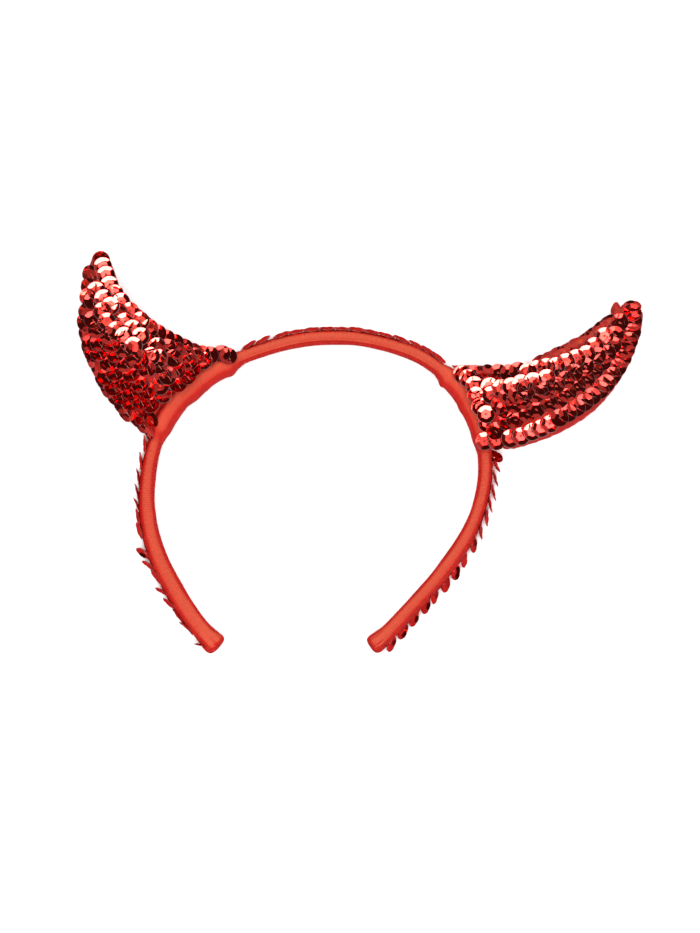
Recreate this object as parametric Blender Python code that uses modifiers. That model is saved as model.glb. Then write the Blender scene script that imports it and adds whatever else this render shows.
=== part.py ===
"""Devil horns headband, lying on its edge: a cloth-covered hoop with a stuffed, sequined horn on each shoulder.

+Z is up, along the hoop's axis. +Y runs from the two leg tips to the crown of the hoop, and +X to the right horn.
The origin is on the floor, under the middle of the whole object's box.
"""

import math

import bmesh
import bpy
from mathutils import Matrix, Vector

MM = 0.001


def table(columns, *rows):
    """Rows of numbers under named columns, as one list for each column."""
    return {name: [row[i] for row in rows] for i, name in enumerate(columns.split())}


# Fit between touching pieces
GAP = 0.3 * MM

# Covered band of the hoop
HOOP_REACH = 64.0 * MM
BAND_THICKNESS = 5.4 * MM
BAND_DEPTH = 8.0 * MM
BAND_SQUARENESS = 2.7
END_THICKNESS = 7.8 * MM
END_LENGTH = 9.0 * MM
STATION_STEP = 8.2 * MM
SECTION_SIDES = 12

# Satin sleeves that tie the horns to the band
SLEEVE_WALL = 1.0 * MM
SLEEVE_STEP = 5.0 * MM
SLEEVE_OVERHANG = 3.0 * MM

# Stuffed horns
RIGHT_HORN_LENGTH = 72.0 * MM
RIGHT_HORN_WIDTH = 33.0 * MM
RIGHT_HORN_THICKNESS = 19.0 * MM
LEFT_HORN_LENGTH = 56.0 * MM
LEFT_HORN_WIDTH = 40.0 * MM
LEFT_HORN_THICKNESS = 20.0 * MM
HORN_STATIONS = 14
HORN_STRIPS = 9
BASE_BLEND = 0.32
SEAM_HEIGHT = 0.40
BELLY_FLATNESS = 1.5
CROWN_ROUNDNESS = 0.62
STATION_CROWDING = 1.3

# Sequined cloth on the front of each horn
PANEL_WALL = 2.0 * MM
PANEL_FROM = 0.03
SEQUIN_DIAMETER = 7.0 * MM
SEQUIN_SIDES = 8
SCALE_THICKNESS = 1.4 * MM
SCALE_LIFT = 0.25 * MM
ROW_SPACING = 5.9 * MM
ROW_INSET = 1.6 * MM
SEQUIN_PITCH = 5.6 * MM
SEQUIN_TILT = 11.0
DOWNWARD_LAY = 0.7
SAMPLES_ACROSS = 20
SAMPLES_ALONG = 90

# String of sequins on the outer face of the band
STRING_DEPTH = 2.4 * MM
STRING_WALL = 1.0 * MM
STRING_PITCH = 5.8 * MM
PETAL_THICKNESS = 0.5 * MM
STRING_ROOT = 0.1 * MM
STRING_BREAK = 2.0 * MM

# Middle line of the band round the hoop's centre: turn in degrees from +X towards +Y, reach in shares of HOOP_REACH
BAND_PATH = table(
    "turn reach",
    (-70, 0.963),
    (-50, 0.880),
    (-30, 0.884),
    (-10, 0.953),
    (10, 1.025),
    (30, 1.068),
    (50, 1.046),
    (70, 0.986),
    (90, 0.947),
    (110, 0.938),
    (130, 0.971),
    (150, 1.022),
    (180, 1.031),
    (210, 1.031),
    (236, 1.092),
)

# Folded cloth at each leg tip: inset from the tip in shares of END_LENGTH, swell from the band's size (0) to the
# end's (1), and how much of that is left where the tip rounds off
LEG_END = table(
    "inset swell left",
    (0.00, 1.00, 0.50),
    (0.06, 1.00, 0.80),
    (0.18, 1.00, 0.95),
    (0.34, 0.95, 1.00),
    (0.66, 0.45, 1.00),
    (1.00, 0.00, 1.00),
)

# Hem and wrinkle of a sleeve, from its end near the leg to its end near the crown: bulge in shares of SLEEVE_WALL
SLEEVE_FOLDS = table(
    "along bulge",
    (0.00, 0.10),
    (0.12, 0.00),
    (0.40, 0.15),
    (0.52, 0.75),
    (0.64, 0.10),
    (0.85, 0.20),
    (0.95, 0.90),
    (1.00, 0.60),
)

# Tilt of the band's sequins, in degrees, by turn round the hoop
STRING_TILTS = table(
    "turn tilt",
    (-70, 30.0),
    (-20, 26.0),
    (30, 16.0),
    (60, 7.0),
    (120, 8.0),
    (170, 15.0),
    (200, 26.0),
    (236, 22.0),
)

# Horn from its base on the band to its tip, between a low edge on the leg's side and a high edge on the crown's side.
# Both edges are placed from the band's outer face at the horn's turn: out, away from the hoop's centre, in shares of
# the horn's length, and side, towards the crown, in shares of its width. bottom and top are heights above the floor, in
# shares of its thickness. The panel is the run of strips that the sequined cloth covers.
RIGHT_HORN = {
    "name": "right_horn",
    "turn": 28.8,
    "crown_side": 1,
    "length": RIGHT_HORN_LENGTH,
    "width": RIGHT_HORN_WIDTH,
    "thickness": RIGHT_HORN_THICKNESS,
    "panel": (2, 8),
    "rows_from": -1,
    "shape": table(
        "along low_out low_side high_out high_side bottom top",
        (0.00, -0.14, -0.45, -0.04, 0.55, 0.00, 0.60),
        (0.10, -0.04, -0.59, 0.07, 0.43, 0.00, 0.82),
        (0.24, 0.12, -0.68, 0.19, 0.27, 0.00, 0.97),
        (0.38, 0.29, -0.73, 0.33, 0.16, 0.00, 1.00),
        (0.53, 0.48, -0.71, 0.48, 0.14, 0.00, 0.95),
        (0.67, 0.64, -0.60, 0.65, 0.14, 0.01, 0.84),
        (0.80, 0.79, -0.42, 0.79, 0.18, 0.04, 0.72),
        (0.91, 0.92, -0.18, 0.89, 0.21, 0.08, 0.61),
        (0.97, 0.97, -0.03, 0.94, 0.22, 0.14, 0.52),
        (1.00, 0.99, 0.08, 0.98, 0.18, 0.22, 0.42),
    ),
}
LEFT_HORN = {
    "name": "left_horn",
    "turn": 140.4,
    "crown_side": -1,
    "length": LEFT_HORN_LENGTH,
    "width": LEFT_HORN_WIDTH,
    "thickness": LEFT_HORN_THICKNESS,
    "panel": (1, 8),
    "rows_from": 1,
    "shape": table(
        "along low_out low_side high_out high_side bottom top",
        (0.00, -0.03, -0.54, -0.11, 0.51, 0.00, 0.58),
        (0.16, 0.18, -0.52, 0.06, 0.38, 0.00, 0.90),
        (0.33, 0.39, -0.47, 0.27, 0.28, 0.00, 1.02),
        (0.48, 0.53, -0.41, 0.48, 0.29, 0.05, 1.06),
        (0.61, 0.68, -0.28, 0.64, 0.29, 0.13, 1.06),
        (0.72, 0.80, -0.12, 0.74, 0.32, 0.22, 1.04),
        (0.83, 0.90, 0.08, 0.83, 0.40, 0.34, 1.02),
        (0.93, 0.97, 0.28, 0.91, 0.45, 0.46, 0.98),
        (0.98, 1.00, 0.41, 0.96, 0.47, 0.55, 0.92),
        (1.00, 1.00, 0.46, 0.98, 0.48, 0.62, 0.84),
    ),
}

STEPS_PER_REACH = 60
BAND_HEIGHT = BAND_DEPTH / 2 + GAP + SLEEVE_WALL
SLEEVE_REACH = BAND_THICKNESS / 2 + GAP + SLEEVE_WALL
UP = Vector((0, 0, 1))


def read(columns, key, value, at):
    """A table's value at a place between its rows, on a smooth curve through them."""
    x, y = columns[key], columns[value]
    at = min(max(at, x[0]), x[-1])
    i = max(k for k in range(len(x) - 1) if x[k] <= at)
    last = len(x) - 1

    def slope(k):
        before, after = max(k - 1, 0), min(k + 1, last)
        return (y[after] - y[before]) / (x[after] - x[before])

    span = x[i + 1] - x[i]
    t = (at - x[i]) / span
    return (
        y[i] * (1 + 2 * t) * (1 - t) ** 2
        + y[i + 1] * t * t * (3 - 2 * t)
        + slope(i) * span * t * (1 - t) ** 2
        + slope(i + 1) * span * t * t * (t - 1)
    )


# Lines and directions along the band


def band_middle(turn):
    """Middle of the band at a turn round the hoop."""
    reach = HOOP_REACH * read(BAND_PATH, "turn", "reach", turn)
    angle = math.radians(turn)
    return Vector((reach * math.cos(angle), reach * math.sin(angle), BAND_HEIGHT))


def band_axes(turn):
    """Direction round the hoop, and direction straight out of the band's outer face."""
    first, last = BAND_PATH["turn"][0], BAND_PATH["turn"][-1]
    step = 0.5
    onward = band_middle(min(turn + step, last)) - band_middle(max(turn - step, first))
    onward.normalize()
    return onward, onward.cross(UP)


def band_point(turn, outward, height):
    """A point beside the band's middle line."""
    return band_middle(turn) + band_axes(turn)[1] * outward + UP * height


def turn_after(turn, length):
    """The turn that lies a length further round the band's middle line. Lengths may be negative."""
    steps = max(1, math.ceil(STEPS_PER_REACH * abs(length) / HOOP_REACH))
    for _ in range(steps):
        ahead = turn + math.copysign(0.25, length)
        per_degree = (band_middle(ahead) - band_middle(turn)).length / 0.25
        turn += length / steps / per_degree
    return turn


def band_length(start, end):
    """Length of the band's middle line between two turns."""
    steps = max(2, round(abs(end - start)))
    points = [band_middle(start + (end - start) * k / steps) for k in range(steps + 1)]
    return sum((b - a).length for a, b in zip(points, points[1:]))


def even_turns(start, end, step):
    """Turns from start to end at about equal steps of length."""
    count = max(2, round(band_length(start, end) / step))
    pace = math.copysign(band_length(start, end) / count, end - start)
    turns = [start]
    for _ in range(count - 1):
        turns.append(turn_after(turns[-1], pace))
    return turns + [end]


# Meshes


def finish(name, mesh_data, material):
    """Puts a bmesh into a new object of the headband's collection."""
    bmesh.ops.recalc_face_normals(mesh_data, faces=mesh_data.faces[:])
    closed = not any(edge.is_boundary for edge in mesh_data.edges)
    if closed and mesh_data.calc_volume(signed=True) < 0:
        bmesh.ops.reverse_faces(mesh_data, faces=mesh_data.faces[:])
    mesh = bpy.data.meshes.new(name)
    mesh_data.to_mesh(mesh)
    mesh_data.free()
    mesh.materials.append(material)
    mesh.shade_smooth()
    mesh.set_sharp_from_angle(angle=math.radians(50))
    piece = bpy.data.objects.new(name, mesh)
    HEADBAND.objects.link(piece)
    return piece


def skin(mesh_data, rings):
    """Quads between neighbouring closed rings of as many points. Returns the rings' vertices."""
    made = [[mesh_data.verts.new(point) for point in ring] for ring in rings]
    count = len(rings[0])
    for near, far in zip(made, made[1:]):
        for k in range(count):
            after = (k + 1) % count
            mesh_data.faces.new((near[k], near[after], far[after], far[k]))
    return made


def band_section():
    """Outline of the band's section from -1 to 1 each way, with flats above and below."""
    outline = []
    for k in range(SECTION_SIDES):
        angle = 2 * math.pi * (k + 0.5) / SECTION_SIDES
        across, up = math.cos(angle), math.sin(angle)
        power = 2 / BAND_SQUARENESS
        outline.append(
            (
                math.copysign(abs(across) ** power, across),
                math.copysign(abs(up) ** power, up),
            )
        )
    widest = max(across for across, _ in outline)
    highest = max(up for _, up in outline)
    return [(across / widest, up / highest) for across, up in outline]


def band_ring(turn, half_thickness, half_depth):
    """The band's section at a turn, at these half sizes."""
    return [
        band_point(turn, across * half_thickness, up * half_depth)
        for across, up in band_section()
    ]


# The band and its sleeves


def make_band():
    """The covered hoop, whose cloth is folded into a thicker knob at each leg tip."""
    first, last = BAND_PATH["turn"][0], BAND_PATH["turn"][-1]
    from_start = [turn_after(first, inset * END_LENGTH) for inset in LEG_END["inset"]]
    to_end = [turn_after(last, -inset * END_LENGTH) for inset in LEG_END["inset"]]
    rings = []

    def knob(turn, row):
        swell, left = LEG_END["swell"][row], LEG_END["left"][row]
        thickness = BAND_THICKNESS + (END_THICKNESS - BAND_THICKNESS) * swell
        depth = BAND_DEPTH + 2 * (BAND_HEIGHT - BAND_DEPTH / 2) * swell
        rings.append(band_ring(turn, left * thickness / 2, left * depth / 2))

    for row, turn in enumerate(from_start):
        knob(turn, row)
    for turn in even_turns(from_start[-1], to_end[-1], STATION_STEP)[1:-1]:
        rings.append(band_ring(turn, BAND_THICKNESS / 2, BAND_DEPTH / 2))
    for row in reversed(range(len(to_end))):
        knob(to_end[row], row)

    mesh_data = bmesh.new()
    made = skin(mesh_data, rings)
    mesh_data.faces.new(made[0])
    mesh_data.faces.new(made[-1])
    return finish("band", mesh_data, COVER_CLOTH)


def sleeve_span(horn):
    """First and last turn of the sleeve under a horn, from the leg to the crown."""
    shape, sense = horn["shape"], horn["crown_side"]
    low = shape["low_side"][0] * horn["width"] - SLEEVE_OVERHANG
    high = shape["high_side"][0] * horn["width"] + SLEEVE_OVERHANG
    return turn_after(horn["turn"], sense * low), turn_after(horn["turn"], sense * high)


def make_sleeve(horn, name):
    """The satin tube round the band that a horn is sewn to."""
    start, end = sleeve_span(horn)
    turns = even_turns(start, end, SLEEVE_STEP)
    outer, inner = [], []
    for k, turn in enumerate(turns):
        bulge = SLEEVE_WALL * read(SLEEVE_FOLDS, "along", "bulge", k / (len(turns) - 1))
        ring = []
        for across, up in band_section():
            inward = max(-across, 0.0)
            outward = across * SLEEVE_REACH - inward * bulge
            ring.append(band_point(turn, outward, up * BAND_HEIGHT))
        outer.append(ring)
        inner.append(band_ring(turn, BAND_THICKNESS / 2 + GAP, BAND_DEPTH / 2 + GAP))

    mesh_data = bmesh.new()
    made_outer = skin(mesh_data, outer)
    made_inner = skin(mesh_data, inner)
    for end_row in (0, -1):
        rim, lip = made_outer[end_row], made_inner[end_row]
        for k in range(SECTION_SIDES):
            after = (k + 1) % SECTION_SIDES
            mesh_data.faces.new((rim[k], rim[after], lip[after], lip[k]))
    return finish(name, mesh_data, SATIN)


# Shape of a horn


def horn_edge(horn, along, edge):
    """A horn's low or high edge in plan, apart from the fit of its base."""
    outward = read(horn["shape"], "along", edge + "_out", along) * horn["length"]
    side = read(horn["shape"], "along", edge + "_side", along) * horn["width"]
    angle = math.radians(horn["turn"])
    away = Vector((math.cos(angle), math.sin(angle), 0))
    towards_crown = UP.cross(away) * horn["crown_side"]
    start = band_middle(horn["turn"]) + away * (SLEEVE_REACH + GAP)
    return start + away * outward + towards_crown * side


def horn_plan(horn, along, across):
    """A point between a horn's edges in plan, from the low edge (-1) to the high edge (1)."""
    return horn_edge(horn, along, "low").lerp(horn_edge(horn, along, "high"), (across + 1) / 2)


def seat(horn, across):
    """Where a horn's base meets its sleeve."""
    low, high = (horn["shape"][side][0] * horn["width"] for side in ("low_side", "high_side"))
    side = low + (high - low) * (across + 1) / 2
    turn = turn_after(horn["turn"], horn["crown_side"] * side)
    return band_point(turn, SLEEVE_REACH + GAP, -BAND_HEIGHT)


def horn_point(horn, along, across, front):
    """A point of the stuffed body: along from base to tip, across from the low edge (-1) to the high edge (1)."""
    hold = max(0.0, 1 - along / BASE_BLEND) ** 2
    point = horn_plan(horn, along, across)
    if hold > 0:
        point += (seat(horn, across) - horn_plan(horn, 0, across)) * hold

    bottom = max(0.0, read(horn["shape"], "along", "bottom", along)) * horn["thickness"]
    top = read(horn["shape"], "along", "top", along) * horn["thickness"]
    seam = bottom + SEAM_HEIGHT * (top - bottom)
    arch = max(0.0, 1 - across * across)
    if front:
        point.z = seam + (top - seam) * arch**CROWN_ROUNDNESS
    else:
        point.z = seam - (seam - bottom) * min(1, BELLY_FLATNESS * math.sqrt(arch))
    return point


def station(k):
    """Place along a horn of its k-th ring. Rings are closer together towards the tip."""
    return 1 - (1 - k / HORN_STATIONS) ** STATION_CROWDING


def strips():
    """Places across a horn, closer together towards its edges."""
    return [math.sin(math.pi * (k / HORN_STRIPS - 0.5)) for k in range(HORN_STRIPS + 1)]


def make_horn_body(horn):
    """The stuffed satin body: domed in front, flattened where it lies, with a seam round its edge."""
    across = strips()
    rings = []
    for k in range(HORN_STATIONS + 1):
        along = station(k)
        front = [horn_point(horn, along, a, True) for a in across]
        back = [horn_point(horn, along, a, False) for a in reversed(across[1:-1])]
        rings.append(front + back)

    mesh_data = bmesh.new()
    made = skin(mesh_data, rings)
    count = len(rings[0])
    for end_ring in (made[0], made[-1]):
        for k in range(HORN_STRIPS):
            corners = [end_ring[k], end_ring[k + 1], end_ring[-k - 1], end_ring[(-k) % count]]
            mesh_data.faces.new(list(dict.fromkeys(corners)))
    return finish(horn["name"] + "_body", mesh_data, SATIN)


# Sequined cloth


def front_frame(horn, along, across):
    """Point on the body's front, with the directions towards the tip and straight out of the cloth."""
    step = 0.01
    point = horn_point(horn, along, across, True)
    near_tip = horn_point(horn, min(along + step, 1), across, True)
    near_base = horn_point(horn, max(along - step, 0), across, True)
    high = horn_point(horn, along, min(across + step, 0.99), True)
    low = horn_point(horn, along, max(across - step, -0.99), True)
    towards_tip = (near_tip - near_base).normalized()
    out = towards_tip.cross(high - low).normalized()
    if out.z < 0:
        out.negate()
    return point, towards_tip, out


def sequin_rows(horn):
    """Places (along, across) of the sequins on a horn, in rows beside one long edge of the cloth."""
    low, high = (strips()[k] for k in horn["panel"])
    edge, other = (low, high) if horn["rows_from"] < 0 else (high, low)
    panel_to = station(HORN_STATIONS - 2)
    grid = []
    for i in range(SAMPLES_ALONG + 1):
        along = PANEL_FROM + (panel_to - PANEL_FROM) * i / SAMPLES_ALONG
        acrosses = [edge + (other - edge) * j / SAMPLES_ACROSS for j in range(SAMPLES_ACROSS + 1)]
        points = [horn_point(horn, along, a, True) for a in acrosses]
        reached = [0.0]
        for a, b in zip(points, points[1:]):
            reached.append(reached[-1] + (b - a).length)
        grid.append((along, acrosses, reached))

    places = []
    row = 0
    while True:
        wanted = ROW_INSET + row * ROW_SPACING
        line = []
        for along, acrosses, reached in grid:
            if reached[-1] < wanted + ROW_INSET / 2:
                continue
            j = next(k for k in range(SAMPLES_ACROSS) if reached[k + 1] >= wanted)
            part = (wanted - reached[j]) / (reached[j + 1] - reached[j])
            across = acrosses[j] + (acrosses[j + 1] - acrosses[j]) * part
            line.append((along, across, horn_point(horn, along, across, True)))
        if len(line) < 4:
            return places
        walked = 0.0
        due = SEQUIN_PITCH * (0.5 if row % 2 else 0.0)
        previous = line[0][2]
        for along, across, point in line:
            walked += (point - previous).length
            previous = point
            if walked >= due:
                places.append((along, across))
                due += SEQUIN_PITCH
        row += 1


def around(ahead, axis):
    """Eight directions round an axis, from the one ahead."""
    side = axis.cross(ahead)
    return [ahead * math.cos(k * math.pi / 4) + side * math.sin(k * math.pi / 4) for k in range(8)]


def clear_of_sleeve(point):
    """Whether a point is beyond the sleeves' outer face or above them."""
    turn = math.degrees(math.atan2(point.y, point.x)) % 360
    band = band_middle(turn if turn < 270 else turn - 360)
    beyond = math.hypot(point.x, point.y) - math.hypot(band.x, band.y)
    return beyond > SLEEVE_REACH + GAP or point.z > 2 * BAND_HEIGHT + GAP


def add_sequin(mesh_data, middle, free_end, out, tilt, thickness):
    """A disc round a middle point of its face, with its free end tilted out of the cloth."""
    angle = math.radians(tilt)
    reach = free_end * math.cos(angle) + out * math.sin(angle)
    face = out * math.cos(angle) - free_end * math.sin(angle)
    side = face.cross(reach)
    turned = Matrix((reach, side, face)).transposed().to_4x4()
    bmesh.ops.create_cone(
        mesh_data,
        cap_ends=True,
        segments=SEQUIN_SIDES,
        radius1=SEQUIN_DIAMETER / 2,
        radius2=SEQUIN_DIAMETER / 2,
        depth=thickness,
        matrix=Matrix.Translation(middle - face * thickness / 2) @ turned,
    )


def fuse(piece, mesh_data):
    """Joins the shapes of a bmesh to a piece, as one solid."""
    mesh = bpy.data.meshes.new(piece.name + "_sequins")
    mesh_data.to_mesh(mesh)
    mesh_data.free()
    cutter = bpy.data.objects.new(mesh.name, mesh)
    cutter.hide_render = True
    cutter.display_type = "WIRE"
    CUTTERS.objects.link(cutter)
    union = piece.modifiers.new("sequins", "BOOLEAN")
    union.operation = "UNION"
    union.solver = "EXACT"
    union.use_self = True
    union.object = cutter


def make_horn_sequins(horn):
    """The sequined cloth over a horn's front: a shell with its rows of sequins fused on."""
    low, high = horn["panel"]
    mesh_data = bmesh.new()
    rows = []
    for i in range(HORN_STATIONS):
        along = max(station(i), PANEL_FROM)
        row = []
        for across in strips()[low : high + 1]:
            point, _, out = front_frame(horn, along, across)
            row.append(mesh_data.verts.new(point + out * GAP))
        rows.append(row)
    for near, far in zip(rows, rows[1:]):
        for k in range(high - low):
            mesh_data.faces.new((near[k], near[k + 1], far[k + 1], far[k]))
    piece = finish(horn["name"] + "_sequins", mesh_data, SEQUIN_FOIL)
    if piece.data.polygons[0].normal.z < 0:
        piece.data.flip_normals()
    cloth = piece.modifiers.new("cloth", "SOLIDIFY")
    cloth.thickness = PANEL_WALL
    cloth.offset = 1
    cloth.use_even_offset = True

    discs = bmesh.new()
    for along, across in sequin_rows(horn):
        point, towards_tip, out = front_frame(horn, along, across)
        lay = Vector((0, -1, 0)) * DOWNWARD_LAY - towards_tip
        free_end = (lay - out * lay.dot(out)).normalized()
        tips = [point + turned_by * SEQUIN_DIAMETER / 2 for turned_by in around(free_end, out)]
        if all(clear_of_sleeve(tip) for tip in tips):
            middle = point + out * (GAP + PANEL_WALL + SCALE_LIFT)
            add_sequin(discs, middle, free_end, out, SEQUIN_TILT, SCALE_THICKNESS)
    fuse(piece, discs)
    return piece


def make_band_sequins(name, start, end):
    """A string of sequins on the band's outer face. Their free ends all point clockwise round the hoop."""
    turns = even_turns(start, end, STRING_PITCH)
    inside = BAND_THICKNESS / 2 + GAP
    corners = (
        (inside, -STRING_DEPTH / 2),
        (inside, STRING_DEPTH / 2),
        (inside + STRING_WALL, STRING_DEPTH / 2),
        (inside + STRING_WALL, -STRING_DEPTH / 2),
    )
    mesh_data = bmesh.new()
    rings = [[band_point(turn, out, up) for out, up in corners] for turn in turns]
    made = skin(mesh_data, rings)
    mesh_data.faces.new(made[0])
    mesh_data.faces.new(made[-1])
    piece = finish(name, mesh_data, SEQUIN_FOIL)

    discs = bmesh.new()
    for before, after in zip(turns, turns[1:]):
        turn = (before + after) / 2
        onward, outward = band_axes(turn)
        tilt = read(STRING_TILTS, "turn", "tilt", turn)
        lift = SEQUIN_DIAMETER / 2 * math.sin(math.radians(tilt)) + STRING_ROOT + PETAL_THICKNESS
        middle = band_point(turn, inside + lift, 0)
        add_sequin(discs, middle, -onward, outward, tilt, PETAL_THICKNESS)
    fuse(piece, discs)
    return piece


# Materials and collections


def material(name, colour, roughness, metallic=0.0):
    made = bpy.data.materials.new(name)
    made.use_nodes = True
    shader = made.node_tree.nodes["Principled BSDF"]
    shader.inputs["Base Color"].default_value = (*colour, 1)
    shader.inputs["Roughness"].default_value = roughness
    shader.inputs["Metallic"].default_value = metallic
    return made


def collection(name):
    made = bpy.data.collections.new(name)
    bpy.context.scene.collection.children.link(made)
    return made


def stand_on_floor(pieces):
    """Moves all pieces so that the origin is under the middle of their box, on the floor."""
    bpy.context.view_layer.update()
    graph = bpy.context.evaluated_depsgraph_get()
    corners = []
    for piece in pieces:
        ready = piece.evaluated_get(graph)
        corners += [ready.matrix_world @ vertex.co for vertex in ready.data.vertices]
    low = Vector(min(corner[axis] for corner in corners) for axis in range(3))
    high = Vector(max(corner[axis] for corner in corners) for axis in range(3))
    shift = Vector((-(low.x + high.x) / 2, -(low.y + high.y) / 2, -low.z))
    for piece in [*pieces, *CUTTERS.objects]:
        piece.location = shift


for old in list(bpy.data.objects):
    bpy.data.objects.remove(old)
HEADBAND = collection("devil_horns_headband")
CUTTERS = collection("cutters")
COVER_CLOTH = material("cover_cloth", (0.76, 0.045, 0.025), 0.75)
SATIN = material("satin", (0.78, 0.035, 0.020), 0.55)
SEQUIN_FOIL = material("sequin_foil", (0.62, 0.010, 0.015), 0.22, 0.9)


def main():
    right_start, right_end = sleeve_span(RIGHT_HORN)
    left_start, left_end = sleeve_span(LEFT_HORN)
    first, last = BAND_PATH["turn"][0], BAND_PATH["turn"][-1]
    pieces = [
        make_band(),
        make_sleeve(RIGHT_HORN, "right_sleeve"),
        make_sleeve(LEFT_HORN, "left_sleeve"),
        make_horn_body(RIGHT_HORN),
        make_horn_body(LEFT_HORN),
        make_horn_sequins(RIGHT_HORN),
        make_horn_sequins(LEFT_HORN),
        make_band_sequins(
            "right_leg_sequins",
            turn_after(first, END_LENGTH),
            turn_after(right_start, -STRING_BREAK),
        ),
        make_band_sequins(
            "crown_sequins",
            turn_after(right_end, STRING_BREAK),
            turn_after(left_end, -STRING_BREAK),
        ),
        make_band_sequins(
            "left_leg_sequins",
            turn_after(left_start, STRING_BREAK),
            turn_after(last, -END_LENGTH),
        ),
    ]
    stand_on_floor(pieces)


main()
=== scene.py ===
"""Devil horns headband: ribbed cloth over the hoop, satin sleeves, stuffed horns and single sequins.

Lengths are in metres. Shapes are worked out round the hoop's centre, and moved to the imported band's place.
"""

import math
import random

import bpy
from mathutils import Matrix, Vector
from mathutils.bvhtree import BVHTree


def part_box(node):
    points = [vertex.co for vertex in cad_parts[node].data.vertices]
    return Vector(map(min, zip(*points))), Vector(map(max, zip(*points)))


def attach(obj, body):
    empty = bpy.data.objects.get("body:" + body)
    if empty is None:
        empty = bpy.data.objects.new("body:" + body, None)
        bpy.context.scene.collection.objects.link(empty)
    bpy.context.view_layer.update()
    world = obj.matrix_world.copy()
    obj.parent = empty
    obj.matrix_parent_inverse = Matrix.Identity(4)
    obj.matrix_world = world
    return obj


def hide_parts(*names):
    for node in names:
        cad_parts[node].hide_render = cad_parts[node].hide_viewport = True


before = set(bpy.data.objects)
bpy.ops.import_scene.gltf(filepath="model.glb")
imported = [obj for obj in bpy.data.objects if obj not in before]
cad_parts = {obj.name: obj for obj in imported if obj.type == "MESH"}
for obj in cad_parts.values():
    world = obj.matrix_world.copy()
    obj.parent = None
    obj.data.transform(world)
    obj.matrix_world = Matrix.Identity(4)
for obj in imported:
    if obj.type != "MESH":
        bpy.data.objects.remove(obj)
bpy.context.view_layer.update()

MM = 0.001
UP = Vector((0, 0, 1))


def table(columns, *rows):
    """Rows under named columns, as one list for each column."""
    return {name: [row[i] for row in rows] for i, name in enumerate(columns.split())}


# The view from straight above. Places read in it are in steps, of which VIEW_STEPS make its height.
VIEW_HEIGHT = 360.1 * MM
VIEW_STEPS = 933
VIEW_STEP = VIEW_HEIGHT / VIEW_STEPS
CAMERA_DISTANCE = 1.3
SUBJECT_HEIGHT = 8.0 * MM
HOOP_IN_VIEW = (318.0, 495.0)
VIEW_CENTRE = Vector((32.0, 28.5, 0)) * VIEW_STEP

# Fit between touching pieces
GAP = 0.3 * MM

# Covered band of the hoop
HOOP_REACH = 64.0 * MM
BAND_THICKNESS = 5.4 * MM
BAND_DEPTH = 8.0 * MM
BAND_SQUARENESS = 2.7
END_THICKNESS = 7.8 * MM
END_LENGTH = 9.0 * MM
BAND_STEP = 1.4 * MM
BAND_SIDES = 48
CAD_BAND_STEP = 8.2 * MM
CAD_BAND_SIDES = 12
END_PLEATS = 7
END_SWELL = 0.12
END_PUSH = 1.3 * MM
PLEAT_DEPTH = 0.10
WOBBLE = 0.12 * MM
WOBBLE_PITCH = 7.0 * MM

# Overlap of the band's cloth, a low step along the inner edge of the crown, and the turns over which it
# starts and ends
SEAM_STEP = 0.35 * MM
SEAM_PLACE = -0.30
SEAM_WIDTH = 0.08
SEAM_STARTS = (35, 60)
SEAM_ENDS = (120, 150)

# Satin sleeves that tie the horns to the band
SLEEVE_WALL = 1.0 * MM
SLEEVE_OVERHANG = 3.0 * MM
SLEEVE_EDGE = 0.05 * MM
SLEEVE_TAPER = 6.0 * MM
SLEEVE_STEP = 0.9 * MM
HEM_HEIGHT = 0.15 * MM
HEM_PLACE = 1.6 * MM
HEM_WIDTH = 0.6 * MM
WRINKLE_DEPTH = 0.14 * MM
WRINKLE_PITCH = 2.2 * MM

# Stuffed horns
BODY_STATIONS = 90
BODY_STRIPS = 40
CLOSER_AT_TIP = 1.3
BASE_BLEND = 0.32
SEAM_HEIGHT = 0.40
BELLY_FLATNESS = 1.5
CROWN_ROUNDNESS = 0.40
CROWN_HEIGHT = 0.95
PUCKER_PITCH = 4.2 * MM
PUCKER_DEPTH = 0.35 * MM
PUCKER_REACH = 0.12

# Sequined cloth on the front of each horn
PANEL_FROM = 0.03
PANEL_TO = 0.985
PANEL_ROWS = 60
PANEL_COLUMNS = 24
CLOTH_LIFT = 0.3 * MM
CLOTH_THICKNESS = 0.5 * MM
SEQUIN_CLEARANCE = 0.35 * MM
RIM_CHECKS = 12
RIM_CHECKED = 0.75
MOST_LIFT = 6.0 * MM

# How far single sequins stray from their rows in the tables, in degrees
LEAN_SPREAD = 1
FACE_SPREAD = 4
LOOSE_SPREAD = 8

# One sequin: a cup with six flat sides round a flat middle, open to the front
SEQUIN_RADIUS = 3.5 * MM
FLAT_RADIUS = 2.0 * MM
FLAT_REACH = FLAT_RADIUS * math.cos(math.pi / 6)
HOLE_RADIUS = 0.45 * MM
CUP_SLOPE = 0.42
FOIL_THICKNESS = 0.12 * MM
RIM_WIDTH = 0.12 * MM
FOIL_SHARP = 12
SEQUIN_SIDES = 24
WARP = 9.0
THREAD_RADIUS = 0.10 * MM
KNOT = 0.3
THREAD_LENGTHS = (0.7, 1.1)

# Band sequins
TAPE_WIDTH = 1.8 * MM
TAPE_THICKNESS = 0.5 * MM
TAPE_SUNK = 0.15 * MM
TAPE_STEP = 1.5 * MM
STRING_BREAK = 2.0 * MM
STRING_SPREAD = 0.3
CROWN_FACE = 15
CROWN_FACE_SPREAD = 3
CROWN_OFF = 3.0

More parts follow.
